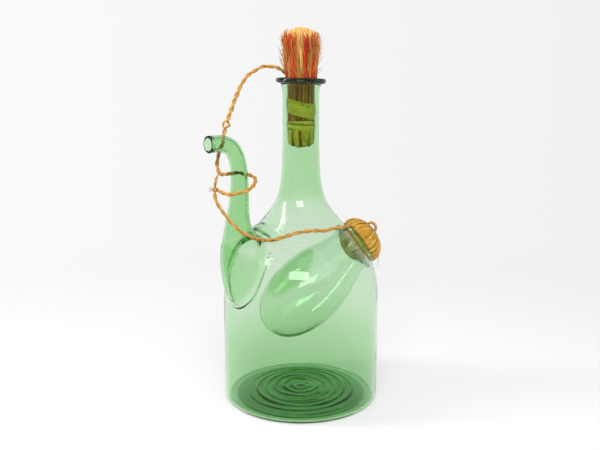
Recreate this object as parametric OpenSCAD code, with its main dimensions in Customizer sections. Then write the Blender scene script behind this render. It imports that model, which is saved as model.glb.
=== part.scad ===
// Blown glass decanter with a curved pouring spout, an ice pocket in its shoulder,
// two straw stoppers, and the twisted raffia cord that ties them together.
// Millimetres, +Z up. The origin is the centre of the face that the bottle stands on.

/* [Bottle] */
// Outside diameter of the body
body_d = 148.8; // [147:0.2:150]
// Outside diameter of the neck
neck_d = 33.8; // [33:0.2:34.6]
// Thickness of the body's wall
wall = 2.4; // [2:0.1:3]
// Thickness of the neck's wall
neck_wall = 2.3; // [2:0.1:2.5]
// Thickness of the glass floor
floor_t = 6; // [4:0.5:9]
// Radius of the rounded heel
heel_r = 5; // [3:0.5:7]
// Height of the top of the rim
rim_z = 305.4; // [305:0.1:306]
// Thickness of the thread of glass round the rim
lip_d = 5.6; // [5.2:0.1:6]

/* [Pouring spout] */
// Direction of the spout, seen from above
spout_az = 219; // [216:1:222]
// Distance of the upright tube from the bottle's axis
spout_reach = 69.8; // [69:0.1:70.5]
// Outside diameter at the mouth
spout_d = 14.6; // [14:0.2:15]
// Thickness of the spout's wall
spout_wall = 1.5; // [1.2:0.1:2]
// Radius of the bend at the top
bend_r = 16.3; // [15:0.1:18]
// Length of the level end past the bend
spout_end = 15; // [12:0.5:17]

/* [Ice pocket] */
// Direction of the pocket's mouth, seen from above
pocket_az = 20; // [18:1:22]
// Tilt of the pocket above level
pocket_el = 39.5; // [38:0.5:41]
// Depth of the pocket
pocket_depth = 118; // [112:1:120]
// Thickness of the pocket's wall
pocket_wall = 2.2; // [1.8:0.1:2.6]
// Outside radius of the collar
collar_r = 24.3; // [24:0.1:25]
// Inside radius of the mouth
mouth_r = 20.2; // [19.8:0.1:20.6]

/* [Neck stopper] */
// Radius of the bound straw plug
plug_r = 12.6; // [11.5:0.1:12.8]
// Height of the bottom of the plug
plug_z = 243; // [238:1:250]
// Height of the top of the tuft
tuft_z = 350.5; // [345:0.5:352]
// Number of loose natural strands
straw_count = 26; // [12:1:30]
// Number of red strands
red_count = 13; // [6:1:16]

/* [Pocket stopper] */
// Tilt of the stopper above level
stopper_el = 32; // [31:0.5:34]
// Radius of the head where it meets the glass
head_r = 23.4; // [22:0.2:23.6]
// Height of the head
head_h = 18.5; // [16:0.5:20]
// Radius of the plug at its inner end
cork_r = 16.9; // [15:0.1:17]
// Length of the plug inside the mouth
cork_l = 17.5; // [14:0.5:18]

/* [Cord] */
// Thickness of the twisted cord
cord_d = 3; // [2.6:0.1:3.2]

/* [Hidden] */
$fn = 64;

body_r = body_d / 2;
neck_r = neck_d / 2;
bore_r = neck_r - neck_wall;
lip_z = rim_z - lip_d / 2;
lip_r = neck_r + 3.7;
tube_r = spout_d / 2;

// Shoulder and neck outline: two curves that meet on the slope of the shoulder.
slope = [35.4, 176];
shoulder = [[body_r, 80], [body_r, 127], [body_r, 133], slope];
neck = [slope, [18.1, 195], [neck_r, 205], [neck_r, 279]];
flare = [[neck_r, 288], [neck_r, 295], [neck_r + 0.7, 299], [lip_r - 0.2, lip_z - 1.4]];
flare_in = [[bore_r, 288], [bore_r, 295], [bore_r + 0.9, 299], [lip_r - 2, lip_z - 0.6]];

// Spout outline round its own upright axis: tube, swelling, teardrop foot.
bend_z = 234;
spout_tube = [[tube_r, bend_z], [tube_r + 1, 205], [tube_r + 1.9, 182], [15.5, 165]];
spout_swell = [[15.5, 165], [18.6, 157], [19.8, 150], [19.8, 143]];
spout_foot = [[19.8, 143], [19.8, 126], [9, 101.5], [0, 101.5]];

// Pocket outline round its own axis, which runs down into the body from the mouth.
pocket_mouth = [56.8, 144.9];
pocket_neck = [[mouth_r + pocket_wall, -8], [mouth_r + 2.4, -22], [33.8, -38], [33.8, -66]];
pocket_belly = [[33.8, -66], [33.8, -95], [21, -pocket_depth], [0, -pocket_depth]];

// Pocket stopper: the centre of its head's base, and the outline of its head.
head_base = [60.6, 148];
head = [[head_r, 0], [head_r + 0.2, 9], [17, head_h], [0, head_h]];
raffia_t = 1.6;

// Route of the cord, chosen point by point. The upper stretch leaves the neck stopper,
// falls behind the spout's mouth and goes once round the spout's tube to the knot.
upper_route = [
    [-16.4, -1, 311], [-21, -4, 314], [-27, -6, 315.2], [-34.5, -9, 315], [-40, -12, 312.3],
    [-45.5, -15, 308.8], [-50, -18, 304], [-54, -21, 297], [-58, -25, 287.3],
    [-61.5, -29, 277.5], [-64.5, -33, 268.5], [-67, -37.5, 258.5], [-69, -42, 250.5],
    [-71.5, -44, 241.5], [-73, -46, 231.5], [-71, -47, 223.5], [-67, -41.5, 222],
    [-61.5, -35.8, 222.3], [-56, -34.2, 222.6], [-51, -34.6, 222.2], [-46, -36, 221],
    [-41.5, -39.5, 219.5], [-39.5, -45, 217], [-42, -50.5, 212.7], [-47, -53.5, 209.3],
    [-54, -54.2, 207.5], [-62, -53.5, 206], [-69, -51, 207.5], [-73, -49, 209]
];
// The lower stretch drops from the knot, crosses the front of the spout and lies on the
// shoulder round to the pocket stopper.
lower_route = [
    [-75.3, -48.5, 208], [-75, -50, 203.5], [-73.5, -52, 199], [-69, -54, 192],
    [-64, -56.5, 186], [-58.5, -59, 180], [-52, -59, 174], [-45.5, -57.3, 170],
    [-36.8, -49, 165], [-28.3, -41.8, 162.6], [-18.6, -44.4, 165], [-9.8, -44.4, 168.2],
    [0, -43.5, 170.4], [10.5, -41.1, 171.3], [21.3, -37.5, 170.7], [30.4, -30.1, 171.1],
    [36, -24.2, 170.4], [40.2, -18.1, 169.8], [43.6, -10.6, 169], [46, -2.5, 167.8],
    [46.9, 5.4, 166.3]
];
// The tail of the knot, which takes a turn on the upper stretch.
knot_route = [[-74.8, -48.6, 209], [-75.2, -49, 213], [-73.5, -49.2, 217], [-71.5, -48.8, 220.5]];
knot_at = [-74.5, -48.5, 209.5];
neck_hitch_at = [-13.8, -0.5, 309.6];
pocket_hitch_at = [47.3, 8.9, 165.9];

// A point on a cubic curve, and the curve as a list of points.
function bez_at(p, t) =
    pow(1 - t, 3) * p[0] + 3 * pow(1 - t, 2) * t * p[1] + 3 * (1 - t) * t * t * p[2] + t * t * t * p[3];
function bez_dir(p, t) =
    pow(1 - t, 2) * (p[1] - p[0]) + 2 * (1 - t) * t * (p[2] - p[1]) + t * t * (p[3] - p[2]);
function curve(p, n = 10) = [for (i = [0 : n]) bez_at(p, i / n)];
// The same curve moved sideways by d, to its left.
function beside(p, d, n = 10) =
    [for (i = [0 : n]) let (v = bez_dir(p, i / n)) bez_at(p, i / n) + d * [-v[1], v[0]] / norm(v)];
function arc(c, r, a0, a1, n = 6) =
    [for (i = [0 : n]) let (a = a0 + (a1 - a0) * i / n) c + r * [cos(a), sin(a)]];
function tail(list) = [for (i = [1 : len(list) - 1]) list[i]];
function backwards(list) = [for (i = [len(list) - 1 : -1 : 0]) list[i]];

// A tube of n sides along a route, with its rings turned as little as possible.
function along(p, i) =
    let (v = p[min(i + 1, len(p) - 1)] - p[max(i - 1, 0)]) v / norm(v);
function square_to(v, t) = let (w = v - (v * t) * t) w / norm(w);
function sides_of(p) =
    [for (i = 0, v = square_to([0, 1, 0.2], along(p, 0)); i < len(p);
          i = i + 1, v = square_to(v, along(p, min(i, len(p) - 1)))) v];
module tube(p, r, n = 8) {
    v = sides_of(p);
    m = len(p);
    rings = [
        for (i = [0 : m - 1]) let (t = along(p, i), a = square_to(v[i], t), b = cross(t, a))
        for (k = [0 : n - 1]) p[i] + r * (cos(360 * k / n) * a + sin(360 * k / n) * b)
    ];
    skin = [
        for (i = [0 : m - 2]) for (k = [0 : n - 1])
        let (a = i * n + k, b = i * n + (k + 1) % n)
        each [[a, a + n, b], [b, a + n, b + n]]
    ];
    start = [[for (k = [0 : n - 1]) k]];
    end = [[for (k = [n - 1 : -1 : 0]) (m - 1) * n + k]];
    polyhedron(points = rings, faces = concat(skin, start, end), convexity = 8);
}

// A round rod from a to b.
module rod(a, b, r1, r2) {
    v = b - a;
    translate(a)
        rotate([0, acos(v[2] / norm(v)), atan2(v[1], v[0])])
            cylinder(h = norm(v), r1 = r1, r2 = r2, $fn = 16);
}

module at_spout() rotate(spout_az) translate([spout_reach, 0, 0]) children();

// Puts a shape's own +Z along a line that leaves the bottle at azimuth az and tilt el.
module leaning(at, az, el)
    rotate(az) translate([at[0], 0, at[1]]) rotate([0, 90 - el, 0]) children();
module at_pocket() leaning(pocket_mouth, pocket_az, pocket_el) children();
module at_stopper() leaning(head_base, pocket_az, stopper_el) children();

// --- Glass ---

module body_solid() {
    rotate_extrude()
        polygon(concat(
            [[0, 0]],
            arc([body_r - heel_r, heel_r], heel_r, -90, 0),
            curve(shoulder, 12), tail(curve(neck)), curve(flare, 5),
            [[0, lip_z - 1.4]]
        ));
}

module body_hollow() {
    inner_r = body_r - wall;
    inner_heel = heel_r - 1;
    rotate_extrude()
        polygon(concat(
            [[0, floor_t]],
            arc([inner_r - inner_heel, floor_t + inner_heel], inner_heel, -90, 0),
            beside(shoulder, wall, 12), tail(beside(neck, neck_wall)), curve(flare_in, 5),
            [[lip_r - 2, rim_z + 1], [0, rim_z + 1]]
        ));
}

module lip_ring() {
    rotate_extrude()
        translate([lip_r, lip_z])
            circle(d = lip_d);
}

module bottle_body() {
    color([0.62, 0.84, 0.58, 0.5])
        difference() {
            body_solid();
            body_hollow();
            lip_ring();
            spout_upright(spout_wall);
            at_pocket() translate([0, 0, -10]) cylinder(h = 24, r = collar_r);
        }
}

module neck_lip() color([0.14, 0.32, 0.17, 0.8]) lip_ring();

// The three stretches of the spout as solids, each with its skin moved inwards by t.
module spout_upright(t) {
    at_spout()
        rotate_extrude()
            polygon(concat(
                [[0, bend_z]],
                beside(spout_tube, -t, 8), tail(beside(spout_swell, -t, 4)), tail(beside(spout_foot, -t, 8))
            ));
}
module spout_bend(t) {
    at_spout()
        translate([bend_r, 0, bend_z])
            rotate([90, 0, 0])
                rotate_extrude(angle = 90, start = 90)
                    translate([bend_r, 0])
                        circle(r = tube_r - t);
}
module spout_level(t, past) {
    at_spout()
        translate([bend_r, 0, bend_z + bend_r])
            rotate([0, 90, 0])
                cylinder(h = spout_end + past, r = tube_r - t);
}

module pouring_spout() {
    color([0.4, 0.72, 0.38, 0.6])
        difference() {
            spout_upright(0);
            spout_upright(spout_wall);
            body_solid();
        }
}

module spout_elbow() {
    color([0.36, 0.68, 0.34, 0.6]) {
        difference() {
            spout_bend(0);
            spout_bend(spout_wall);
        }
        difference() {
            spout_level(0, 0);
            spout_level(spout_wall, 1);
        }
    }
}

module ice_pocket_neck() {
    color([0.5, 0.78, 0.47, 0.55])
        at_pocket()
            rotate_extrude()
                polygon(concat(
                    [[mouth_r + 1.2, 1], [mouth_r + 2.2, 1.5], [collar_r - 0.8, 1.5], [collar_r, 0.8],
                     [collar_r, -6.5]],
                    curve(pocket_neck, 9), backwards(beside(pocket_neck, -pocket_wall, 9)),
                    [[mouth_r, -1]]
                ));
}

module ice_pocket_belly() {
    color([0.45, 0.75, 0.42, 0.55])
        at_pocket()
            rotate_extrude()
                polygon(concat(
                    curve(pocket_belly, 9),
                    [[0, pocket_wall - pocket_depth]],
                    tail(backwards(beside(pocket_belly, -pocket_wall, 9)))
                ));
}

// --- Neck stopper ---

module neck_stopper_core() {
    color([0.72, 0.5, 0.24])
        rotate_extrude()
            polygon([
                [0, plug_z], [plug_r - 4, plug_z], [plug_r - 1, plug_z + 2], [plug_r, plug_z + 6],
                [plug_r, 296], [13.6, 303], [0, 303]
            ]);
}

module neck_stopper_tuft() {
    color([0.8, 0.6, 0.34])
        rotate_extrude()
            polygon(concat(
                [[0, 303], [13.6, 303], [14.2, 306]],
                curve([[14.2, 306], [14.8, 325], [16.6, 338], [14, tuft_z - 5]], 6),
                curve([[14, tuft_z - 5], [10, tuft_z - 1], [6, tuft_z], [0, tuft_z]], 4)
            ));
}

// One loose strand of the tuft: leans out by a few millimetres and ends at its own height.
module strand(angle, height, lean, r) {
    foot = 14.6;
    rod(foot * [cos(angle), sin(angle), 0] + [0, 0, 306.5],
        (foot + lean) * [cos(angle + 3), sin(angle + 3), 0] + [0, 0, height], r, r * 0.8);
}

module tuft_straw_strands() {
    color([0.76, 0.47, 0.2])
        for (i = [0 : straw_count - 1])
            strand(i * 360 / straw_count, 340 + 7 * sin(i * 137), 2.7 + 0.6 * sin(i * 71), 0.6);
}

module tuft_red_strands() {
    color([0.72, 0.13, 0.1])
        for (i = [0 : red_count - 1])
            strand((i + 0.25) * 360 / red_count, 341 + 6 * sin(i * 101), 2.9 + 0.5 * sin(i * 53), 0.6);
}

// A slanting ring round the plug: its middle is at z, and it drops by tilt degrees towards +X.
module band(z, height, tilt, r) {
    intersection() {
        difference() {
            translate([0, 0, z - 20]) cylinder(h = 40, r = r);
            translate([0, 0, z - 21]) cylinder(h = 42, r = plug_r);
        }
        translate([0, 0, z]) rotate([0, tilt, 0]) translate([-20, -20, -height / 2]) cube([40, 40, height]);
    }
}

module upper_raffia_band() color([0.62, 0.5, 0.26]) band(277.5, 15, 12, 13.8);

module lower_raffia_band() color([0.58, 0.45, 0.22]) band(262, 9.5, 3, 13.7);

module end_strap() {
    color([0.6, 0.48, 0.25])
        intersection() {
            rotate_extrude()
                polygon([
                    [0, plug_z - 1], [plug_r - 3.6, plug_z - 1], [plug_r, plug_z + 1.2],
                    [plug_r + 1, plug_z + 6], [plug_r + 1, plug_z + 13.5], [plug_r, plug_z + 13.5],
                    [plug_r, plug_z + 6], [plug_r - 1, plug_z + 2], [plug_r - 4, plug_z], [0, plug_z]
                ]);
            rotate(25) translate([-20, -4.5, plug_z - 5]) cube([40, 9, 25]);
        }
}

module neck_cord_hitch() color([0.7, 0.42, 0.16]) translate(neck_hitch_at) sphere(d = 5, $fn = 24);

// --- Ice pocket stopper ---

module pocket_stopper_cork() {
    color([0.66, 0.5, 0.32])
        at_stopper()
            rotate_extrude()
                polygon(concat(
                    [[0, -cork_l + raffia_t], [cork_r - raffia_t - 2, -cork_l + raffia_t],
                     [cork_r - raffia_t, -cork_l + raffia_t + 2], [cork_r - 1, raffia_t]],
                    beside(head, raffia_t, 7),
                    [[0, head_h - raffia_t]]
                ));
}

module pocket_stopper_raffia() {
    inner_head = beside(head, raffia_t, 7);
    color([0.8, 0.55, 0.16])
        at_stopper()
            rotate_extrude()
                polygon(concat(
                    [[1.2, -cork_l], [cork_r - 2, -cork_l], [cork_r, -cork_l + 2], [cork_r + 0.6, 0]],
                    [for (p = curve(head, 7)) [max(p[0], 1.2), p[1]]],
                    [for (p = backwards(inner_head)) [max(p[0], 1.2), p[1]]],
                    [[cork_r - 1, raffia_t], [cork_r - raffia_t, -cork_l + raffia_t + 2],
                     [cork_r - raffia_t - 2, -cork_l + raffia_t], [1.2, -cork_l + raffia_t]]
                ));
}

// The part of a small ring that stands out of the top of the head.
module pocket_stopper_ring() {
    color([0.6, 0.34, 0.15])
        at_stopper()
            intersection() {
                translate([-3.5, 0, head_h - 1])
                    rotate([90, 0, 0])
                        rotate_extrude()
                            translate([4.6, 0])
                                circle(r = 1.3, $fn = 24);
                translate([-12, -4, head_h - 1]) cube([18, 8, 8]);
            }
}

module pocket_stopper_ends() {
    color([0.74, 0.5, 0.2])
        at_stopper() {
            rod([19.6, -3, 10.2], [32.6, -3, 2], 0.5, 0.3);
            rod([-22.5, 0, 4], [-30.4, 3.2, -0.5], 0.6, 0.35);
        }
}

module pocket_cord_hitch() color([0.7, 0.42, 0.16]) translate(pocket_hitch_at) sphere(d = 5, $fn = 24);

// --- Cord ---

module cord_upper() color([0.74, 0.45, 0.17]) tube(upper_route, cord_d / 2);

module cord_lower() color([0.74, 0.45, 0.17]) tube(lower_route, cord_d / 2);

module cord_knot() {
    color([0.68, 0.4, 0.15]) {
        translate(knot_at) sphere(d = 6, $fn = 24);
        tube(knot_route, cord_d / 2 + 0.2);
    }
}

module cord_frayed_end() {
    color([0.78, 0.5, 0.2]) {
        rod(knot_at + [-2.4, -0.6, 0.6], knot_at + [-7, -1.5, 1.6], 0.7, 0.4);
        rod(knot_at + [-2.4, -0.6, 0], knot_at + [-6.5, -2.5, -1], 0.6, 0.3);
    }
}

bottle_body();
neck_lip();
pouring_spout();
spout_elbow();
ice_pocket_neck();
ice_pocket_belly();
neck_stopper_core();
neck_stopper_tuft();
tuft_straw_strands();
tuft_red_strands();
upper_raffia_band();
lower_raffia_band();
end_strap();
neck_cord_hitch();
pocket_stopper_cork();
pocket_stopper_raffia();
pocket_stopper_ring();
pocket_stopper_ends();
pocket_cord_hitch();
cord_upper();
cord_knot();
cord_frayed_end();
cord_lower();
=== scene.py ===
import math
import bpy
import numpy as np
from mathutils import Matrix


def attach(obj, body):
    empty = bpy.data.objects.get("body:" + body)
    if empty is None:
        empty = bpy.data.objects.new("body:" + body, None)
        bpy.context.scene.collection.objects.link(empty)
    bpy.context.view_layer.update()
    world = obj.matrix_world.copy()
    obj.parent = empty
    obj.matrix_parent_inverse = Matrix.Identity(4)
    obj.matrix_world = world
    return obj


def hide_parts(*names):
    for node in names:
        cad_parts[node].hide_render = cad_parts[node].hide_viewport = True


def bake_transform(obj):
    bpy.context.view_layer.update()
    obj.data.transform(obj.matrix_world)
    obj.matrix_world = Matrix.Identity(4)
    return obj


# A blown glass decanter with a pouring spout, an ice pocket, two straw stoppers and a
# twisted raffia cord. Lengths in the mesh code are millimetres; meshes are made in metres.

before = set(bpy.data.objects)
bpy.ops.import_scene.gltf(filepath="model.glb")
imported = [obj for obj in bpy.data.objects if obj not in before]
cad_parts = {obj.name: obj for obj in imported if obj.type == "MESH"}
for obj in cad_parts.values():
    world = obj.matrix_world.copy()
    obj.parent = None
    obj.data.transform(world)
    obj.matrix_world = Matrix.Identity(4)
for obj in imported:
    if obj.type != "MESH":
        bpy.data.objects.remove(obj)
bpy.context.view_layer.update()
MM = 0.001
rng = np.random.default_rng(11)


# -------------------- mesh helpers
def round_turn(n):
    """n angles round a whole turn."""
    return np.linspace(0, 2 * np.pi, n, endpoint=False)


def unit(v):
    return v / np.maximum(np.linalg.norm(v, axis=-1, keepdims=True), 1e-9)


def round_axis(angle, radius, z):
    """Points at an angle, a distance and a height, round +Z."""
    return np.stack([radius * np.cos(angle), radius * np.sin(angle), z + 0 * angle], -1)


def along(line):
    """The distance from the start of a line to each of its points."""
    return np.r_[0, np.cumsum(np.linalg.norm(np.diff(line, axis=0), axis=1))]


def make(name, verts, faces, material, attributes=()):
    """A smooth mesh object from points in mm and an array of triangles or quads."""
    me = bpy.data.meshes.new(name)
    verts, faces = np.asarray(verts, np.float64), np.asarray(faces, np.int32)
    n, k = faces.shape
    me.vertices.add(len(verts))
    me.vertices.foreach_set("co", (verts * MM).astype(np.float32).ravel())
    me.loops.add(n * k)
    me.loops.foreach_set("vertex_index", faces.ravel())
    me.polygons.add(n)
    me.polygons.foreach_set("loop_start", np.arange(0, n * k, k, dtype=np.int32))
    me.update(calc_edges=True)
    me.validate()
    me.polygons.foreach_set("use_smooth", np.full(len(me.polygons), True))
    for key, value in attributes:
        kind, field = ("FLOAT_VECTOR", "vector") if value.ndim == 2 else ("FLOAT", "value")
        data = me.attributes.new(key, kind, "POINT").data
        data.foreach_set(field, value.astype(np.float32).ravel())
    ob = bpy.data.objects.new(name, me)
    bpy.context.scene.collection.objects.link(ob)
    me.materials.append(material)
    return ob


class Parts:
    """Collects swept strands so that many of them become one mesh."""

    def __init__(self):
        self.v, self.f, self.s, self.n = [], [], [], 0

    def add(self, v, f, s):
        self.v.append(v)
        self.f.append(f + self.n)
        self.s.append(s)
        self.n += len(v)

    def make(self, name, material):
        return make(name, np.concatenate(self.v), np.concatenate(self.f), material,
                    [("strand", np.concatenate(self.s))])


def sweep(c, a, b, ra, rb, k=6, tone=None, ridge=None):
    """Closed strands along centre lines c (S, n, 3), with section axes a and b and half-widths
    ra and rb (S, n). The strand attribute holds (mm along, part of a turn, tone of the strand)."""
    S, n = c.shape[:2]
    t = round_turn(k)
    ra, rb = np.broadcast_to(ra, (S, n)), np.broadcast_to(rb, (S, n))
    m = 1 if ridge is None else ridge
    v = (c[:, :, None] + a[:, :, None] * (ra[..., None] * np.cos(t) * m)[..., None]
         + b[:, :, None] * (rb[..., None] * np.sin(t) * m)[..., None])
    length = np.concatenate([np.zeros((S, 1)),
                             np.cumsum(np.linalg.norm(np.diff(c, axis=1), axis=2), axis=1)], axis=1)
    tone = rng.random(S) if tone is None else np.broadcast_to(tone, (S,))
    s = np.stack([np.broadcast_to(length[..., None], (S, n, k)),
                  np.broadcast_to(t / (2 * np.pi), (S, n, k)),
                  np.broadcast_to(tone[:, None, None], (S, n, k))], axis=-1)
    idx = np.arange(S * n * k).reshape(S, n, k)
    p, q = idx[:, :-1], idx[:, 1:]
    r, u = np.roll(p, -1, axis=2), np.roll(q, -1, axis=2)
    faces = [np.stack([p, r, q], -1).reshape(-1, 3), np.stack([r, u, q], -1).reshape(-1, 3)]
    for j in range(1, k - 1):
        faces.append(np.stack([idx[:, 0, 0], idx[:, 0, j + 1], idx[:, 0, j]], -1))
        faces.append(np.stack([idx[:, -1, 0], idx[:, -1, j], idx[:, -1, j + 1]], -1))
    return v.reshape(-1, 3), np.concatenate(faces), s.reshape(-1, 3)


def one_sweep(name, material, c, a, b, ra, rb, k, tone):
    parts = Parts()
    parts.add(*sweep(c, a, b, ra, rb, k, tone))
    return parts.make(name, material)


def axes_from(c, ref):
    """Section axes of strands: a across, b as near ref as it can be."""
    t = unit(np.gradient(c, axis=1))
    a = unit(np.cross(t, ref))
    return a, unit(np.cross(a, t))


def catmull(points, step):
    """A smooth line through the points, with a point about every step."""
    p = np.asarray(points, float)
    p = np.vstack([2 * p[0] - p[1], p, 2 * p[-1] - p[-2]])
    out = []
    for i in range(1, len(p) - 2):
        m = max(2, int(np.linalg.norm(p[i + 1] - p[i]) / step))
        u = np.linspace(0, 1, m, endpoint=False)[:, None]
        out.append(0.5 * (2 * p[i] + (p[i + 1] - p[i - 1]) * u
                          + (2 * p[i - 1] - 5 * p[i] + 4 * p[i + 1] - p[i + 2]) * u ** 2
                          + (3 * p[i] - p[i - 1] - 3 * p[i + 1] + p[i + 2]) * u ** 3))
    return np.vstack(out + [p[-2:-1]])


def transported(c):
    """Axes along one line that turn as little as possible."""
    t = unit(np.gradient(c, axis=0))
    a = np.zeros_like(c)
    a[0] = unit(np.cross(t[0], [0.1, 0.2, 1.0]))
    for i in range(1, len(c)):
        a[i] = unit(a[i - 1] - np.dot(a[i - 1], t[i]) * t[i])
    return a, np.cross(t, a), t


def wave(x, seed):
    """Smooth made-up variation of about -1 to 1 along x."""
    g = np.random.default_rng(seed)
    terms = enumerate((1.0, 2.3, 4.9))
    return sum(np.sin(x * k + g.random() * 6.3) / (i + 1.0) for i, k in terms) / 1.8


# -------------------- camera
FOCAL, PHOTO_WIDTH, AXIS_OFF = 768, 600, 0.9      # in the photo's pixels
CAM_BACK, CAM_UP, CAM_DOWN, SENSOR = 0.713, 0.312, 11.4, 36.0      # metres, degrees, mm
cam = bpy.data.objects.new("camera", bpy.data.cameras.new("camera"))
bpy.context.scene.collection.objects.link(cam)
cam.location = (0, -CAM_BACK, CAM_UP)
cam.rotation_euler = (math.radians(90 - CAM_DOWN), 0, math.atan(AXIS_OFF / FOCAL))
cam.data.lens = FOCAL * SENSOR / PHOTO_WIDTH
cam.data.clip_start = 0.01
bpy.context.scene.camera = cam


# -------------------- materials
def nodes_of(name):
    m = bpy.data.materials.new(name)
    m.use_nodes = True
    nt = m.node_tree
    return m, nt, nt.nodes["Principled BSDF"], nt.nodes["Material Output"]


def put(nt, n, **inputs):
    """Sets a node's inputs to values, or links them from other nodes' outputs. An input goes by its
    name, or by its number as i0, i1 and so on."""
    for key, value in inputs.items():
        socket = n.inputs[int(key[1:]) if key[1:].isdigit() else key.replace("_", " ")]
        if isinstance(value, bpy.types.NodeSocket):
            nt.links.new(value, socket)
        else:
            socket.default_value = value


def node(nt, kind, settings=(), **inputs):
    n = nt.nodes.new(kind)
    for key, value in settings:
        setattr(n, key, value)
    put(nt, n, **inputs)
    return n


def maths(nt, operation, *values):
    """The output of a Math node."""
    inputs = {f"i{i}": v for i, v in enumerate(values)}
    return node(nt, "ShaderNodeMath", [("operation", operation)], **inputs).outputs[0]


def attribute(nt, name, output):
    return node(nt, "ShaderNodeAttribute", [("attribute_name", name)]).outputs[output]


def ramp(nt, at, stops):
    n = node(nt, "ShaderNodeValToRGB", i0=at)
    e = n.color_ramp.elements
    while len(e) < len(stops):
        e.new(0.5)
    for el, (at, col) in zip(e, stops):
        el.position, el.color = at, (*col, 1)
    return n.outputs[0]


def glass(name, colour, density, wobble=0.02, glare=0.3):
    """Clear glass that takes up light by its depth, with faint waves from blowing.
    The deeper attribute says how much darker the glass is where the blown wall is thicker, and
    over the base it is also painted shade under the bottle.
    Glare turns its head-on reflection down."""
    m, nt, p, out = nodes_of(name)
    tint = ramp(nt, attribute(nt, "deeper", "Fac"),
                [(0.0, (1, 1, 1)), (0.5, (0.58, 0.84, 0.53)), (1.0, (0.21, 0.5, 0.19))])
    co = node(nt, "ShaderNodeTexCoord")
    n = node(nt, "ShaderNodeTexNoise", Vector=co.outputs["Object"], Scale=34.0, Detail=1.0)
    b = node(nt, "ShaderNodeBump", Strength=wobble, Distance=0.01, Height=n.outputs[0])
    put(nt, p, Base_Color=tint, Roughness=0.0, Specular_Tint=(glare, glare * 0.9 + 0.1, glare, 1),
        IOR=1.5, Transmission_Weight=1.0, Normal=b.outputs[0])
    a = node(nt, "ShaderNodeVolumeAbsorption", Color=(*colour, 1), Density=density)
    put(nt, out, Volume=a.outputs[0])
    return m


def fibre(name, dark, mid, light, rough=0.62, grain=9.0, bump=0.35):
    """Plant fibre: streaks along each strand, each strand in a tone of its own."""
    m, nt, p, out = nodes_of(name)
    sep = node(nt, "ShaderNodeSeparateXYZ", i0=attribute(nt, "strand", "Vector"))
    length, turn, tone = sep.outputs
    com = node(nt, "ShaderNodeCombineXYZ", i0=maths(nt, "MULTIPLY", length, 0.14),
               i1=maths(nt, "MULTIPLY", turn, grain), i2=maths(nt, "MULTIPLY", tone, 37.0))
    n = node(nt, "ShaderNodeTexNoise", Vector=com.outputs[0], Scale=1.6, Detail=5.0, Roughness=0.6)
    streak = n.outputs[0]
    shade = maths(nt, "MULTIPLY_ADD", tone, 0.42, maths(nt, "MULTIPLY_ADD", streak, 1.25, -0.34))
    rr = node(nt, "ShaderNodeMapRange", i0=streak, From_Min=0.3, From_Max=0.7,
              To_Min=rough - 0.12, To_Max=rough + 0.14)
    b = node(nt, "ShaderNodeBump", Strength=bump, Distance=0.0006, Height=streak)
    put(nt, p, Base_Color=ramp(nt, shade, [(0.12, dark), (0.5, mid), (0.9, light)]),
        Roughness=rr.outputs[0], Normal=b.outputs[0], Specular_IOR_Level=0.22,
        Sheen_Weight=0.04, Sheen_Roughness=0.5)
    return m


cord_fibre = fibre("raffia_cord_fibre", (0.2, 0.075, 0.01), (0.5, 0.25, 0.045),
                   (0.78, 0.5, 0.15), bump=0.7)
raffia_fibre = fibre("raffia_ribbon", (0.08, 0.025, 0.002), (0.64, 0.33, 0.03),
                     (1.0, 0.76, 0.22), rough=0.5, grain=6.0, bump=0.7)
# Painted light: the neck plug's band raffia is yellower and brighter than the bare raffia, to make
# up for the dim light it gets inside the glass neck.
painted_light_band_fibre = fibre("raffia_band", (0.14, 0.09, 0.005), (0.62, 0.5, 0.035),
                   (0.86, 0.78, 0.16), rough=0.5, grain=16.0, bump=0.6)
straw_pale = fibre("straw_pale", (0.3, 0.11, 0.015), (0.76, 0.44, 0.12), (0.95, 0.7, 0.3))
straw_brown = fibre("straw_brown", (0.1, 0.025, 0.003), (0.5, 0.2, 0.022), (0.85, 0.52, 0.14))
straw_red = fibre("straw_dyed_red", (0.2, 0.005, 0.002), (0.46, 0.018, 0.005), (0.66, 0.09, 0.02))
straw_plug = fibre("straw_plug", (0.05, 0.012, 0.002), (0.42, 0.17, 0.008), (0.8, 0.5, 0.06))
# Painted light: the pocket plug's raffia is brighter and yellower than the bare raffia, to make up
# for the dim light it gets inside the glass pocket.
painted_light_plug_fibre = fibre("raffia_plug_painted_light", (0.3, 0.16, 0.004), (1.0, 0.76, 0.03),
                   (1.0, 0.92, 0.1), rough=0.5, grain=12.0, bump=0.7)
dark_core = fibre("straw_core", (0.04, 0.016, 0.003), (0.14, 0.06, 0.01),
                  (0.3, 0.15, 0.03), grain=40.0)


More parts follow.
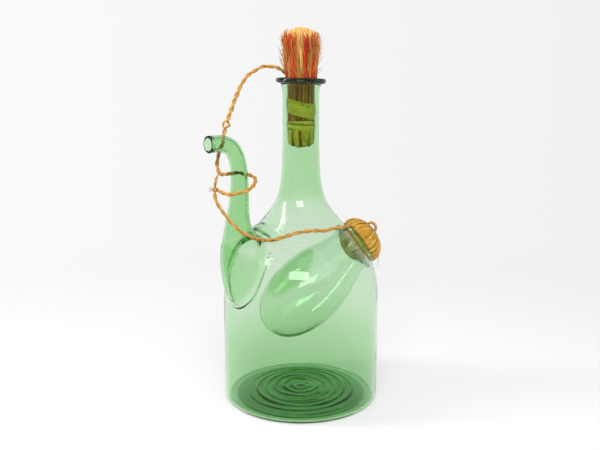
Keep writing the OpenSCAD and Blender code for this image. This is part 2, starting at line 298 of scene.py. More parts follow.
# -------------------- cord
# The cord's route, in metres, as in the CAD source.
UPPER = np.array([
    [-.0164, -.001, .311], [-.021, -.004, .314], [-.027, -.006, .3152],
    [-.0345, -.009, .315], [-.04, -.012, .3123],
    [-.0455, -.015, .3088], [-.05, -.018, .304], [-.054, -.021, .297], [-.058, -.025, .2873],
    [-.0615, -.029, .2775], [-.0645, -.033, .2685], [-.067, -.0375, .2585], [-.069, -.042, .2505],
    [-.0715, -.044, .2415], [-.073, -.046, .2315], [-.071, -.047, .2235], [-.067, -.0415, .222],
    [-.0615, -.0358, .2223], [-.056, -.0342, .2226], [-.051, -.0346, .2222], [-.046, -.036, .221],
    [-.0415, -.0395, .2195], [-.0395, -.045, .217], [-.042, -.0505, .2127], [-.047, -.0535, .2093],
    [-.054, -.0542, .2075], [-.062, -.0535, .206], [-.069, -.051, .2075], [-.073, -.049, .209]])
LOWER = np.array([
    [-.0753, -.0485, .208], [-.075, -.05, .2035], [-.0735, -.052, .199], [-.069, -.054, .192],
    [-.064, -.0565, .186], [-.0585, -.059, .18], [-.052, -.059, .174], [-.0455, -.0573, .17],
    [-.0368, -.049, .165], [-.0283, -.0418, .1626], [-.0186, -.0444, .165], [-.0098, -.0444, .1682],
    [0, -.0435, .1704], [.0105, -.0411, .1713], [.0213, -.0375, .1707], [.0304, -.0301, .1711],
    [.036, -.0242, .1704], [.0402, -.0181, .1698], [.0436, -.0106, .169], [.046, -.0025, .1678],
    [.0469, .0054, .1663]])
KNOT_TAIL = np.array([[-.0748, -.0486, .209], [-.0752, -.0488, .213],
                      [-.0742, -.0488, .218], [-.0722, -.0478, .2225]])
PLY_SIDES, LINE_STEP = 12, 0.5      # the step between points of a drawn cord is in mm
APART, PLY_R = 0.78, 0.93        # how far each ply lies from the cord's middle, and its radius


def plies(centre, seed, pitch, hairs, apart=None, ply=PLY_R, phase=0.0, face_on=None):
    """Two plies twisted round a line given in mm, with ridges of fibre and stray hairs. Apart is a
    distance, or a function of the distance along the line."""
    out = Parts()
    a, b, t = transported(centre)
    s = along(centre)
    if apart is None:
        apart = APART + 0.07 * wave(s * 0.4, seed)
    off = apart(s) if callable(apart) else apart
    turn = 2 * np.pi * s / pitch + 0.35 * wave(s * 0.11, seed + 1) + phase
    if face_on is not None:          # here the two plies lie side by side as seen from the front
        turn = turn - turn[face_on] + math.atan2(b[face_on, 0], a[face_on, 0])
    for k in range(2):
        ang = turn + k * np.pi
        c = centre + (off * np.cos(ang))[:, None] * a + (off * np.sin(ang))[:, None] * b
        pa, pb, _ = transported(c)
        th = round_turn(PLY_SIDES)
        spin = s[:, None] * 0.55 + k
        ridge = (1 + 0.09 * np.sin(3 * th[None] + spin)
                 + 0.06 * np.sin(5 * th[None] - 1.3 * spin + seed)
                 + 0.05 * wave(s[:, None] * 1.9 + 3 * th[None], seed + k))
        size = ply * (1 + 0.1 * wave(s * 0.55, seed + 5 + k))
        ends = np.clip(np.minimum(s, s[-1] - s) / 0.8 + 0.45, 0, 1)
        half = (size * ends)[None]
        out.add(*sweep(c[None], pa[None], pb[None], half * 1.1, half * 0.92, PLY_SIDES,
                       tone=np.array([0.35 + 0.3 * k]), ridge=ridge[None]))
    g = np.random.default_rng(seed)
    for _ in range(hairs):
        i = g.integers(4, len(centre) - 14)
        ang, m = g.random() * 6.3, 8
        j = np.linspace(0, 1, m)
        idx = np.clip(i + (j * g.uniform(6, 12)).astype(int), 0, len(centre) - 1)
        lift = 1.2 + g.uniform(0.2, 1.3) * j ** 1.5
        across, up = lift * np.cos(ang + 0.5 * j), lift * np.sin(ang + 0.5 * j)
        c = centre[idx] + across[:, None] * a[idx] + up[:, None] * b[idx]
        c = c + j[:, None] * t[idx] * 1.5
        ca, cb, _ = transported(c)
        w = 0.09 * (1 - 0.6 * j)
        out.add(*sweep(c[None], ca[None], cb[None], w[None], w[None], 4, tone=np.array([0.7])))
    return out


upper_line = catmull(np.vstack([[-13.8, -0.4, 309.4], UPPER / MM]), LINE_STEP)
lower_line = catmull(LOWER / MM, LINE_STEP)
GAP_HEIGHT = 265
gap_index = int(np.argmin(np.abs(upper_line[:, 2] - GAP_HEIGHT)))
gap_at = along(upper_line)[gap_index]


def opened(s):
    """The plies stand well apart at one twist above the spout, and a little at two before it."""
    return (APART + 0.07 * wave(s * 0.4, 3) + 2.1 * np.exp(-((s - gap_at) / 4.4) ** 2)
            + 0.5 * np.exp(-((s - gap_at + 29) / 2.2) ** 2)
            + 0.4 * np.exp(-((s - gap_at + 15) / 2.0) ** 2))


cord_upper = plies(upper_line, 3, pitch=14.5, apart=opened, hairs=60,
                   face_on=gap_index).make("raffia_cord_upper", cord_fibre)
cord_lower = plies(lower_line, 8, pitch=16.5, hairs=50,
                   phase=2.0).make("raffia_cord_lower", cord_fibre)


def wound_knot(name, centre, size, seed):
    """A small knot: thin cord along a trefoil."""
    t = np.linspace(0, 2 * np.pi, 150)
    c = np.stack([np.sin(t) + 2 * np.sin(2 * t), np.cos(t) - 2 * np.cos(2 * t),
                  -1.5 * np.sin(3 * t)], 1) / 3.0
    c = c * size + np.array(centre)
    return plies(c, seed, pitch=7.0, ply=0.6, hairs=14, apart=0.45).make(name, cord_fibre)


KNOT_AT = np.array([-74.5, -48.5, 209.5])
knot = wound_knot("raffia_knot", KNOT_AT, 2.1, 21)
tail = plies(catmull(KNOT_TAIL / MM, LINE_STEP), 23, pitch=9.0, ply=0.62,
             hairs=10, apart=0.55).make("raffia_knot_turn", cord_fibre)
frayed = Parts()
for i in range(9):
    g = np.random.default_rng(40 + i)
    end = KNOT_AT + np.array([-6.8 + g.uniform(-0.6, 1.6), -1.8 + g.uniform(-1, 1),
                              g.uniform(-1.8, 2.2)])
    middle = (KNOT_AT + end) / 2 + g.uniform(-0.5, 0.5, 3)
    c = catmull([KNOT_AT + [-1.5, -0.5, 0.2], middle, end], LINE_STEP)[None]
    a, b = axes_from(c, np.array([0, 0, 1.0]))
    w = np.linspace(0.34, 0.14, c.shape[1])[None]
    frayed.add(*sweep(c, a, b, w, w * 0.5, 6))
frayed = frayed.make("raffia_frayed_tail", cord_fibre)

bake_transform(cord_upper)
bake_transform(cord_lower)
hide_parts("cord_upper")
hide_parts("cord_lower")
for ob in (knot, tail, frayed):
    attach(ob, "bottle")
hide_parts("cord_knot")
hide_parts("cord_frayed_end")


# -------------------- glass
BODY_R, NECK_R, BORE_R, WALL, HEEL = 74.4, 16.9, 14.6, 2.4, 5.0
LIP_R, LIP_Z, LIP_T, RIM_Z = 20.6, 302.6, 2.8, 305.4
TILT = 0.028                     # the rim dips a little towards +X
SPOUT_AZ, POCKET_AZ, POCKET_EL, STOPPER_EL = (math.radians(x) for x in (219, 20, 39.5, 32))
MOUTH_R, COLLAR_R, POCKET_WALL, POCKET_DEPTH = 20.2, 24.3, 2.3, 118
MOUTH_AT, HEAD_AT = (56.8, 144.9), (60.6, 148.0)      # the pocket's mouth, its stopper: out, up
SPOUT_END_U, SPOUT_END_Z, SPOUT_WALL, FOOT_BLEND = 100.4, 250.3, 1.9, 8.0


def cubic(p, n=25):
    """n points along each cubic curve, from its four control points p (4, 2) or (4, S, 3)."""
    p, t = np.asarray(p, float)[..., None, :], np.linspace(0, 1, n)[:, None]
    return ((1 - t) ** 3 * p[0] + 3 * (1 - t) ** 2 * t * p[1] + 3 * (1 - t) * t * t * p[2]
            + t ** 3 * p[3])


def beside(p, d):
    """A cubic curve moved sideways by d."""
    q = cubic(p)
    v = unit(np.gradient(q, axis=0))
    return q + d * np.stack([-v[:, 1], v[:, 0]], 1)


def heel_arc(r):
    """The rounded edge between the base and the body's wall."""
    a = np.radians(np.linspace(-90, 0, 8))
    return np.array((BODY_R - HEEL, HEEL)) + r * np.stack([np.cos(a), np.sin(a)], 1)


SHOULDER = [(BODY_R, 80), (BODY_R, 127), (BODY_R, 133), (35.4, 176)]
NECK = [(35.4, 176), (18.1, 195), (NECK_R, 205), (NECK_R, 279)]
FLARE = [(NECK_R, 288), (NECK_R, 295), (NECK_R + 0.7, 299), (LIP_R - 0.2, LIP_Z - 1.4)]
FLARE_IN = [(BORE_R, 288), (BORE_R, 295), (BORE_R + 0.9, 299), (LIP_R - 2, LIP_Z - 0.6)]
POCKET_NECK = [(22.4, -8), (22.6, -22), (33.8, -38), (33.8, -66)]
POCKET_BELLY = [(33.8, -66), (33.8, -95), (21, -POCKET_DEPTH), (0, -POCKET_DEPTH)]
GRID = 0.5                       # step in mm of the grids that distances are kept on


def sampled(grids, i, j):
    """The grids' values between grid points, at i and j steps from their corner."""
    i = np.clip(i, 0, grids[0].shape[0] - 1.001)
    j = np.clip(j, 0, grids[0].shape[1] - 1.001)
    a, b = i.astype(np.int32), j.astype(np.int32)
    u, v = i - a, j - b
    return [(1 - u) * (1 - v) * d[a, b] + u * (1 - v) * d[a + 1, b]
            + (1 - u) * v * d[a, b + 1] + u * v * d[a + 1, b + 1] for d in grids]


class Outline:
    """Distance to a shape turned round an axis, negative inside, kept on a grid of (r, z)."""

    def __init__(self, points, reach=95):
        p = np.array(points, float)
        p = np.vstack([p, p[::-1] * [-1, 1]])
        q = np.roll(p, -1, axis=0)
        keep = np.linalg.norm(q - p, axis=1) > 1e-6
        p, q = p[keep], q[keep]
        self.z0 = p[:, 1].min() - 12
        r = np.arange(0, reach + GRID, GRID)
        z = np.arange(self.z0, p[:, 1].max() + 12, GRID)
        R, Z = np.meshgrid(r, z, indexing="ij")
        best, inside = np.full(R.shape, 1e9), np.zeros(R.shape, bool)
        for (ax, ay), (bx, by) in zip(p, q):
            ex, ey = bx - ax, by - ay
            t = np.clip(((R - ax) * ex + (Z - ay) * ey) / (ex * ex + ey * ey), 0, 1)
            best = np.minimum(best, (R - ax - t * ex) ** 2 + (Z - ay - t * ey) ** 2)
            if ay != by:
                inside ^= ((ay > Z) != (by > Z)) & (R < ex * (Z - ay) / ey + ax)
        self.d = np.where(inside, -1, 1) * np.sqrt(best)

    def __call__(self, r, z):
        return sampled([self.d], r / GRID, (z - self.z0) / GRID)[0]


def floor_rings(r, th):
    """The uneven rings in the thick floor, as narrow ridges, and the small nub in its middle."""
    phase = (r * 0.74 + 0.55 * np.sin(th + 0.6) + 0.4 * np.sin(2 * th + r * 0.05)
             + 0.16 * np.sin(7 * th + r * 0.3))
    tall = 0.62 + 0.3 * np.sin(th + 2.6 + r * 0.09) + 0.2 * np.sin(3 * th - r * 0.2)
    ridge = np.exp(2.6 * (np.cos(phase) - 1)) * tall
    uneven = 0.35 * np.sin(2 * th + r * 0.16) + 0.15 * np.sin(5 * th - r * 0.3)
    between = np.clip((60 - r) / 9, 0, 1) * np.clip((r - 3) / 6, 0, 1)
    return (1.5 * ridge + uneven) * between + 1.6 * np.exp(-(r / 3.4) ** 2)


r_out, r_in = np.linspace(0, BODY_R - HEEL, 90), np.linspace(0, BODY_R - HEEL, 140)
push_up = 2.4 * np.clip(1 - (r_out / 61) ** 2, 0, 1)
outer_body = Outline(np.vstack([
    np.stack([r_out, push_up + 0.18 * np.sin(r_out * 0.9) * np.clip((60 - r_out) / 10, 0, 1)], 1),
    heel_arc(HEEL), cubic(SHOULDER), cubic(NECK)[1:], cubic(FLARE, 11), [(0, LIP_Z - 1.4)]]))
inner_body = Outline(np.vstack([
    np.stack([r_in, 2.4 + 5.4 * np.clip(1 - (r_in / 66) ** 2, 0, 1) ** 0.8], 1),
    heel_arc(HEEL - WALL), beside(SHOULDER, WALL), beside(NECK, NECK_R - BORE_R)[1:],
    cubic(FLARE_IN, 11), [(LIP_R - 2, RIM_Z + 6), (0, RIM_Z + 6)]]))
pocket_outer = Outline(np.vstack([
    [(0, 24), (22.4, 24), (22.4, 0)], cubic(POCKET_NECK), cubic(POCKET_BELLY)[1:]]), reach=60)
pocket_inner = Outline(np.vstack([
    [(0, 40), (MOUTH_R + 1.2, 40), (MOUTH_R + 1.2, 5), (MOUTH_R + 0.8, 1.4), (MOUTH_R + 0.2, -1.5)],
    beside(POCKET_NECK, -POCKET_WALL), beside(POCKET_BELLY, -POCKET_WALL)[1:]]), reach=60)

# The spout's centre line in its own upright plane: distance from the bottle's axis, height,
# outer radius.
SPOUT = catmull([
    (101.2, 250.3, 7.3), (94, 250.4, 7.3), (86.8, 250, 7.4), (77.9, 246.2, 7.4), (72.2, 237, 7.4),
    (69.9, 226.2, 7.6), (69.4, 215.6, 8), (69.8, 205, 8.5), (70.6, 194.3, 9.2), (71.6, 183.7, 10.6),
    (71.6, 172.9, 13), (69.2, 159, 17.8), (68.2, 143, 19.5), (68.8, 128, 17.4), (68.2, 118, 14.8),
    (66.5, 111.5, 12.2)], 0.35)


def union(a, b, k):
    """Two shapes in one, blended over about k."""
    h = np.clip(0.5 + 0.5 * (b - a) / k, 0, 1)
    return b + (a - b) * h - k * h * (1 - h)


def cut(a, b, k):
    """a with b taken away, rounded by k."""
    return -union(-a, b, k)


def step_to(x, a, b):
    """A smooth step from 0 at x = a to 1 at x = b."""
    t = np.clip((x - a) / (b - a), 0, 1)
    return t * t * (3 - 2 * t)


def direction(azimuth, elevation):
    """A unit vector, from angles in radians."""
    flat = math.cos(elevation)
    return np.array([flat * math.cos(azimuth), flat * math.sin(azimuth), math.sin(elevation)])


AX_S, AX_P = direction(SPOUT_AZ, 0), direction(POCKET_AZ, POCKET_EL)
MOUTH = round_axis(POCKET_AZ, *MOUTH_AT)
TUBE_U, TUBE_Z = (30, 118), (84, 274)      # the part of the spout's plane that its grids cover

U, Z = np.meshgrid(np.arange(*TUBE_U, GRID), np.arange(*TUBE_Z, GRID), indexing="ij")
tube_near, tube_radius = np.full(U.shape, 1e9), np.zeros(U.shape)
for u, z, r in SPOUT:
    d = (U - u) ** 2 + (Z - z) ** 2
    closer = d < tube_near
    tube_near[closer], tube_radius[closer] = d[closer], r


def spout_tube(u, v, z):
    """Distance to the spout's tube, whose centre line lies in the plane v = 0."""
    d, r = sampled([tube_near, tube_radius], (u - TUBE_U[0]) / GRID, (z - TUBE_Z[0]) / GRID)
    return np.sqrt(d + v * v) - r


FOOT_AZ, FOOT_Z, FOOT_WIDE, FOOT_TALL, FOOT_HIGH = 215.5, 135.0, 29.5, 32.0, 5.5
SQUARED = 2.7                    # 2 would make the foot's outline an ellipse; more is squarer


def across_foot(r, th):
    """How far round the body a point lies from the middle of the spout's foot, in mm."""
    return (th - math.radians(FOOT_AZ - 360)) * r


def spread_foot(d, r, th, z):
    """The spout's foot, spread over the body: a flat egg on the body's surface at d = 0."""
    high, tall = np.maximum(d, 0) / FOOT_HIGH, (z - FOOT_Z) / FOOT_TALL
    wide = across_foot(r, th) / FOOT_WIDE
    q = np.sqrt(high ** 2 + (np.abs(wide) ** SQUARED + np.abs(tall) ** SQUARED) ** (2 / SQUARED))
    slope = np.sqrt((high / FOOT_HIGH) ** 2 + (wide / FOOT_WIDE) ** 2 + (tall / FOOT_TALL) ** 2)
    return (q - 1) * q / np.maximum(slope, 1e-3)


def glass_field(p):
    """Signed distance, in mm, to the whole fused piece of glass."""
    x, y, z = p[:, 0], p[:, 1], p[:, 2]
    zt = z + TILT * x * step_to(z, 275, 300)
    r, th = np.hypot(x, y), np.arctan2(y, x)
    out_of_round = 1.004 + 0.0028 * np.sin(2 * th + 0.7) + 0.0012 * np.sin(3 * th + z * 0.02)
    ripple = 0.125 * step_to(z, 60, 120) * np.sin(th * 2 + z * 0.045) * step_to(200 - z, 0, 60)
    rb = r * out_of_round + ripple
    out = outer_body(rb, zt)
    ins = inner_body(rb, zt - step_to(z, 26, 14) * floor_rings(r, th))
    # The spout, in its own upright plane: u outwards, v sideways.
    u, v = x * AX_S[0] + y * AX_S[1], -x * AX_S[1] + y * AX_S[0]
    near = np.nonzero((u > 36) & (u < 112) & (v > -46) & (v < 32) & (z > 90) & (z < 268))[0]
    if len(near):
        un, vn, zn = u[near], v[near], z[near]
        tube = spout_tube(un, vn, zn)
        spread = spread_foot(out[near], r[near], th[near], zn)
        from_mouth = np.hypot(vn, zn - SPOUT_END_Z)
        bead = np.hypot(un - SPOUT_END_U + 0.2, from_mouth - 6.35) - 1.15
        solid = union(np.maximum(tube, un - SPOUT_END_U), bead, 0.8)
        solid = union(solid, spread, FOOT_BLEND)
        # Where the tube is upright, its wall is thicker and the bore lies off its middle.
        upright = step_to(zn, 160, 185) * step_to(zn, 240, 220)
        wall = (SPOUT_WALL + 0.45 * np.maximum(upright, step_to(zn, 215, 232))
                + 0.6 * step_to(zn, 190, 150))
        bore = spout_tube(un, vn + 0.45 * upright, zn) + wall
        bore = np.where(un > 98, from_mouth - 5.4, bore)
        bore = union(bore, spread + SPOUT_WALL, FOOT_BLEND)
        behind = 8.0 * step_to(-vn, -6, 14) * step_to(zn, 106, 136) * step_to(zn, 184, 152)
        out[near] = union(out[near], solid, 1.9 + 7.0 * step_to(zn, 152, 172) + behind)
        ins[near] = union(ins[near], bore, 2.5 + behind)
    # The ice pocket, along its own axis: s outwards from its mouth.
    q = p - MOUTH
    s = q @ AX_P
    rp = np.linalg.norm(q - s[:, None] * AX_P, axis=1)
    near = np.nonzero((rp < 58) & (s > -130) & (s < 40))[0]
    if len(near):
        sn, rn = s[near], rp[near]
        tn = q[near] @ np.cross(direction(POCKET_AZ - math.pi / 2, 0), AX_P)
        top = 2.2 + 0.13 * tn        # the collar's edge, higher at one side
        collar = union(rn - COLLAR_R + 1.3 * step_to(sn, 0, 5) + 0.3 * np.cos(sn * 2.6),
                       np.maximum(sn - top, -17.4 - sn), -1.4)
        solid = union(out[near], collar, 2.2)
        out[near] = cut(solid, pocket_inner(rn, sn), 1.6)
        ins[near] = cut(ins[near], pocket_outer(rn, sn), 4.5)
    lip = np.hypot(r - LIP_R, zt - LIP_Z) - LIP_T
    return np.maximum(np.maximum(out, -ins), 0.12 - lip)


def surface(field, lo, hi, h):
    """Quads on the zero set of field, by surface nets, then moved onto it in a few steps."""
    axes = [np.arange(lo[i], hi[i] + h, h) for i in range(3)]
    n = [len(a) for a in axes]
    F = np.empty(n, np.float32)
    yz = np.stack(np.meshgrid(axes[1], axes[2], indexing="ij"), -1).reshape(-1, 2)
    for i0 in range(0, n[0], 8):
        xs = axes[0][i0:i0 + 8]
        p = np.concatenate([np.repeat(xs, len(yz))[:, None], np.tile(yz, (len(xs), 1))], 1)
        F[i0:i0 + 8] = field(p).reshape(len(xs), n[1], n[2])
    inside = F < 0
    corner = np.array([[c & 1, (c >> 1) & 1, c >> 2] for c in range(8)])
    count = np.zeros([m - 1 for m in n], np.int8)
    for i, j, k in corner:
        count += inside[i:n[0] - 1 + i, j:n[1] - 1 + j, k:n[2] - 1 + k]
    cells = np.argwhere((count > 0) & (count < 8))
    index = np.full(count.shape, -1, np.int32)
    index[tuple(cells.T)] = np.arange(len(cells))
    vals = np.stack([F[tuple((cells + c).T)] for c in corner], 1)
    total, hits = np.zeros((len(cells), 3)), np.zeros(len(cells))
    for a in range(8):
        for bit in range(3):
            b = a | (1 << bit)
            if b == a:
                continue
            fa, fb = vals[:, a], vals[:, b]
            m = (fa < 0) != (fb < 0)
            t = np.where(m, fa / np.where(m, fa - fb, 1), 0)
            total += m[:, None] * (corner[a] + t[:, None] * (corner[b] - corner[a]))
            hits += m
    v = (cells + total / hits[:, None]) * h + np.array(lo)
    quads = []
    for ax in range(3):
        o1, o2 = [(1, 2), (2, 0), (0, 1)][ax]
        a, b = [slice(None)] * 3, [slice(None)] * 3
        a[ax], b[ax] = slice(0, n[ax] - 1), slice(1, n[ax])
        e = np.argwhere(inside[tuple(a)] != inside[tuple(b)])
        e = e[(e[:, o1] > 0) & (e[:, o2] > 0) & (e[:, o1] < n[o1] - 1) & (e[:, o2] < n[o2] - 1)]
        d1, d2 = np.eye(3, dtype=int)[o1], np.eye(3, dtype=int)[o2]
        ring = [index[tuple((e - d1 - d2).T)], index[tuple((e - d2).T)],
                index[tuple(e.T)], index[tuple((e - d1).T)]]
        quad = np.stack(ring, 1)
        flip = ~inside[tuple(e.T)]
        quad[flip] = quad[flip][:, ::-1]
        quads.append(quad)
    quads = np.concatenate(quads)

    probe, most = 0.05, 0.8 * h      # the slope is measured over probe; no step is over most

    def onto(v, rounds):
        for _ in range(rounds):
            f = field(v)
            g = np.stack([field(v + probe * np.eye(3)[i]) - f for i in range(3)], 1) / probe
            v = v - np.clip(f / np.maximum((g * g).sum(1), 0.2), -most, most)[:, None] * g
        return v

    v = onto(v, 2)
    for _ in range(2):
        acc, cnt = np.zeros_like(v), np.zeros(len(v))
        for i in range(4):
            for j in (1, 3):
                np.add.at(acc, quads[:, i], v[quads[:, (i + j) % 4]])
                np.add.at(cnt, quads[:, i], 1)
        v = onto(v + 0.5 * (acc / cnt[:, None] - v), 1)
    return onto(v, 1), quads


def deeper_at(v):
    """Where in the tint ramp of glass() the glass lies: 0 is clear and 1 is darkest."""
    r, z = np.hypot(v[:, 0], v[:, 1]), v[:, 2]
    q = v - MOUTH
    s = q @ AX_P
    rp = np.linalg.norm(q - s[:, None] * AX_P, axis=1)
    in_pocket = step_to(38 - rp, 0, 3) * step_to(-s, -6, 2) * step_to(s, -122, -114)
    u, th = v @ AX_S, np.arctan2(v[:, 1], v[:, 0])
    egg = np.hypot(across_foot(r, th) / (FOOT_WIDE + 2), (z - FOOT_Z) / (FOOT_TALL + 2))
    on_spout = np.maximum(step_to(u, 55, 60) * step_to(z, 148, 168),
                          1.25 * step_to(egg, 1.02, 0.72))
    body = 0.04 + 0.33 * step_to(z, 110, 45) * (0.8 - 0.2 * np.cos(2 * th))
    neck = 0.23 * step_to(z, 178, 205) * step_to(r, 45, 25)
    # Over the thick base the glass is darker: partly its own green, partly painted shade of the dim
    # floor under the bottle. It is lighter in the very middle.
    base_green_and_shade = step_to(z, 19, 13) * step_to(r, 71.5, 66) * (1 - 0.5 * np.exp(-(r / 4.5) ** 2))
    return np.clip(np.maximum(body * (1 - in_pocket) + neck + base_green_and_shade, 0.36 * on_spout), 0, 1)


clear_green = glass("green_glass", (0.057, 0.642, 0.0), 66)
lip_green = glass("lip_glass", (0.08, 0.5, 0.1), 900, wobble=0.0, glare=1.0)
GLASS_LO, GLASS_HI, CELL = (-89, -75, -2), (78, 78, 306), 1.0
verts, quads = surface(glass_field, GLASS_LO, GLASS_HI, CELL)
bottle = make("bottle_glass", verts, quads, clear_green, [("deeper", deeper_at(verts))])
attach(bottle, "bottle")
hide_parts("bottle_body", "pouring_spout", "spout_elbow", "ice_pocket_neck",
            "ice_pocket_belly")

# The thread of glass round the rim, a little uneven.
LIP_ROUND, LIP_SIDES = 220, 32
t, w = np.meshgrid(round_turn(LIP_ROUND), round_turn(LIP_SIDES), indexing="ij")
fat = LIP_T * (1 - 0.03 * (1 + np.sin(2 * t + 1)) - 0.012 * (1 + np.sin(5 * t)))
rr = LIP_R + fat * np.cos(w) * 0.98
zz = LIP_Z + fat * np.sin(w) * 0.96 - TILT * (rr * np.cos(t))
ids = np.arange(t.size).reshape(t.shape)
nxt = np.roll(ids, -1, 0)
lip_faces = np.stack([ids, nxt, np.roll(nxt, -1, 1), np.roll(ids, -1, 1)], -1).reshape(-1, 4)
lip = make("rim_bead", round_axis(t, rr, zz).reshape(-1, 3), lip_faces, lip_green)
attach(lip, "bottle")
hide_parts("neck_lip")


# -------------------- straw helpers
def turned(outline, material, name, lumps, to_world=None, seed=1):
    """A closed surface turned round +Z from (r, z) points that start and end on the axis."""
    p, sides = np.array(outline, float), 96
    t, n = round_turn(sides), len(p) - 2
    ph = np.random.default_rng(seed).random(6) * 6.3
    lump = 1 + lumps * sum(np.sin((3 + 2 * i) * t + ph[i]) / (i + 1) for i in range(6))
    r = p[1:-1, 0][:, None] * lump[None]
    v = round_axis(t, r, p[1:-1, 1][:, None]).reshape(-1, 3)
    s = np.stack(np.broadcast_arrays(along(p[1:-1])[:, None], t / (2 * np.pi), 0.4 + 0 * r),
                 -1).reshape(-1, 3)
    ids = np.arange(n * sides).reshape(n, sides)
    a, b = ids[:-1], ids[1:]
    c, d = np.roll(a, -1, 1), np.roll(b, -1, 1)
    low, top = n * sides, n * sides + 1
    f = [np.stack([a, c, b], -1).reshape(-1, 3), np.stack([c, d, b], -1).reshape(-1, 3),
         np.stack([np.full(sides, low), np.roll(ids[0], -1), ids[0]], -1),
         np.stack([np.full(sides, top), ids[-1], np.roll(ids[-1], -1)], -1)]
    v = np.vstack([v, [[0, 0, p[0, 1]], [0, 0, p[-1, 1]]]])
    s = np.vstack([s, [[0, 0, 0.4], [0, 0, 0.4]]])
    return make(name, to_world(v) if to_world else v, np.concatenate(f), material, [("strand", s)])


def line_through(points, n):
    """n points at even steps along a smooth line through (k, d) points."""
    c = catmull(points, 0.3)
    s = along(c)
    return np.stack([np.interp(np.linspace(0, s[-1], n), s, c[:, i]) for i in range(c.shape[1])], 1)


# -------------------- stopper of the ice pocket
EX, EY, EZ = (direction(POCKET_AZ, STOPPER_EL - math.pi / 2), direction(POCKET_AZ + math.pi / 2, 0),
              direction(POCKET_AZ, STOPPER_EL))
HEAD = round_axis(POCKET_AZ, *HEAD_AT)


def as_stopper(v):
    """Directions, from the stopper's own axes to the room's."""
    return v[..., :1] * EX + v[..., 1:2] * EY + v[..., 2:3] * EZ


def at_stopper(p):
    return HEAD + as_stopper(p)


def wrapped(outline, count, width, seed, layers, skew, out=0.0, taper=0.3):
    """Ribbons side by side over a turned outline of (r, z) points, from its first to its last."""
    parts = Parts()
    g = np.random.default_rng(seed)
    n, thick = 30, 0.42
    base = line_through(outline, n)
    narrow = taper + (1 - taper) * base[:, 0] / base[:, 0].max()
    d = unit(np.gradient(base, axis=0))
    nor = np.stack([d[:, 1], -d[:, 0]], 1)
    nor = nor * np.sign(nor[0, 0] + 1e-9)
    u = np.linspace(0, 1, n)
    for layer in range(layers):
        ang0 = (np.arange(count) + g.uniform(-0.35, 0.35, count)) * 2 * np.pi / count + layer * 1.3
        for i in range(count):
            ang = ang0[i] + g.uniform(-skew, skew) * u + 0.02 * np.sin(u * 9 + i)
            lift = (out + layer * 0.3 + g.uniform(-0.42, 0.42)
                    + 0.18 * np.sin(u * g.uniform(4, 9) + i)
                    + 0.2 * np.sin(3 * ang + 1.1) * (1 - u))
            c = round_axis(ang, base[:, 0] + nor[:, 0] * lift, base[:, 1] + nor[:, 1] * lift)[None]
            tilt = g.uniform(-0.35, 0.35)
            a, b = axes_from(c, round_axis(ang, nor[:, 0], nor[:, 1])[None])
            a, b = a * math.cos(tilt) + b * math.sin(tilt), b * math.cos(tilt) - a * math.sin(tilt)
            w = width * g.uniform(0.55, 1.15) * narrow * (1 + 0.1 * np.sin(u * 7 + i))
            th = np.full(n, thick * g.uniform(0.7, 1.2)) * (1 + 0.25 * np.sin(u * 21 + 2 * i))
            parts.add(*sweep(at_stopper(c), as_stopper(a), as_stopper(b), w[None] / 2, th[None] / 2,
                             8, tone=np.array([g.random()])))
    return parts


HEAD_LINE = [(18.8, 0.2), (20.6, -1.9), (22.3, -1.6), (23.0, 0.6), (23.1, 2.5), (22.7, 5.2),
             (21.2, 8.2), (18.6, 11.1), (14.6, 13.9), (9.6, 16.0), (5.0, 17.1), (1.6, 17.5)]
PLUG_LINE = [(16.6, 1.2), (14.6, -1.5), (14.6, -4.5), (16.2, -7.2),
             (15.6, -10), (13.2, -13), (9.6, -15.4), (5.2, -16.8), (1.3, -17.1)]
head_core = turned([(0, 0.6), (16, 0.6), (21.4, 0.6), (22.3, 2.5), (21.9, 5), (20.3, 8),
                    (17.6, 10.8), (13.6, 13.5), (8.8, 15.4), (3, 16.6), (0, 16.8)],
                   raffia_fibre, "stopper_head_core", 0.008, at_stopper)
head_wrap = wrapped(HEAD_LINE, 112, 1.2, 31, layers=3,
                    skew=0.24).make("stopper_head_raffia", raffia_fibre)
plug_core = turned([(0, -16.4), (4.8, -16.0), (9.2, -14.6), (12.6, -12.3),
                    (14.9, -9.7), (15.4, -7.2), (13.9, -4.5), (13.9, -1.5), (16, 1.4), (0, 1.6)],
                   dark_core, "stopper_plug_core", 0.01, at_stopper, seed=5)
plug_wrap = wrapped(PLUG_LINE, 46, 2.0, 47, layers=2,
                    skew=0.1, out=-0.35, taper=0.18).make("stopper_plug_raffia", painted_light_plug_fibre)
loop = plies(at_stopper(line_through([(-8.8, 0.6, 15.6), (-8.9, 0.3, 18.2), (-7.6, 0, 20.8),
                                      (-3.6, -0.3, 22.2), (-0.2, -0.1, 21.0), (1.3, 0.4, 18.6),
                                      (1.1, 0.9, 16)], 60)),
             61, pitch=6.5, ply=0.72, apart=0.66, hairs=12).make("stopper_head_loop", cord_fibre)
stray = Parts()
g = np.random.default_rng(77)
strays = [((19.6, -3, 10.2), (26.5, -3.4, 6.8), (32.6, -3, 2), 0.42),
          ((20.2, -2.0, 9.6), (24.5, -2.2, 8), (28, -1, 3.5), 0.28),
          ((-21.8, -1, 3.4), (-26, 1, 1.2), (-30.4, 3.2, -0.8), 0.45),
          ((-21.5, -3.5, 2.6), (-24, -4.4, 0.2), (-27.0, -4.6, -1.6), 0.22)]
for _ in range(34):
    a = g.uniform(0, 2 * np.pi)
    r0, z0 = g.uniform(19, 22.6), g.uniform(2.0, 8.0)
    z0 = min(z0, 8.4 - (r0 - 21) * 2)
    k = g.uniform(1.5, 4.0)
    r1, middle = r0 + 0.6 + k * 0.5, round_axis(a + 0.04, r0 + 1.2, z0 + g.uniform(-1, 1))
    end = (r1 * math.cos(a + g.uniform(-0.12, 0.12)), r1 * math.sin(a + g.uniform(-0.12, 0.12)),
           z0 - k * 0.7 + 0.8)
    strays.append((round_axis(a, r0, z0), middle, end, g.uniform(0.1, 0.22)))
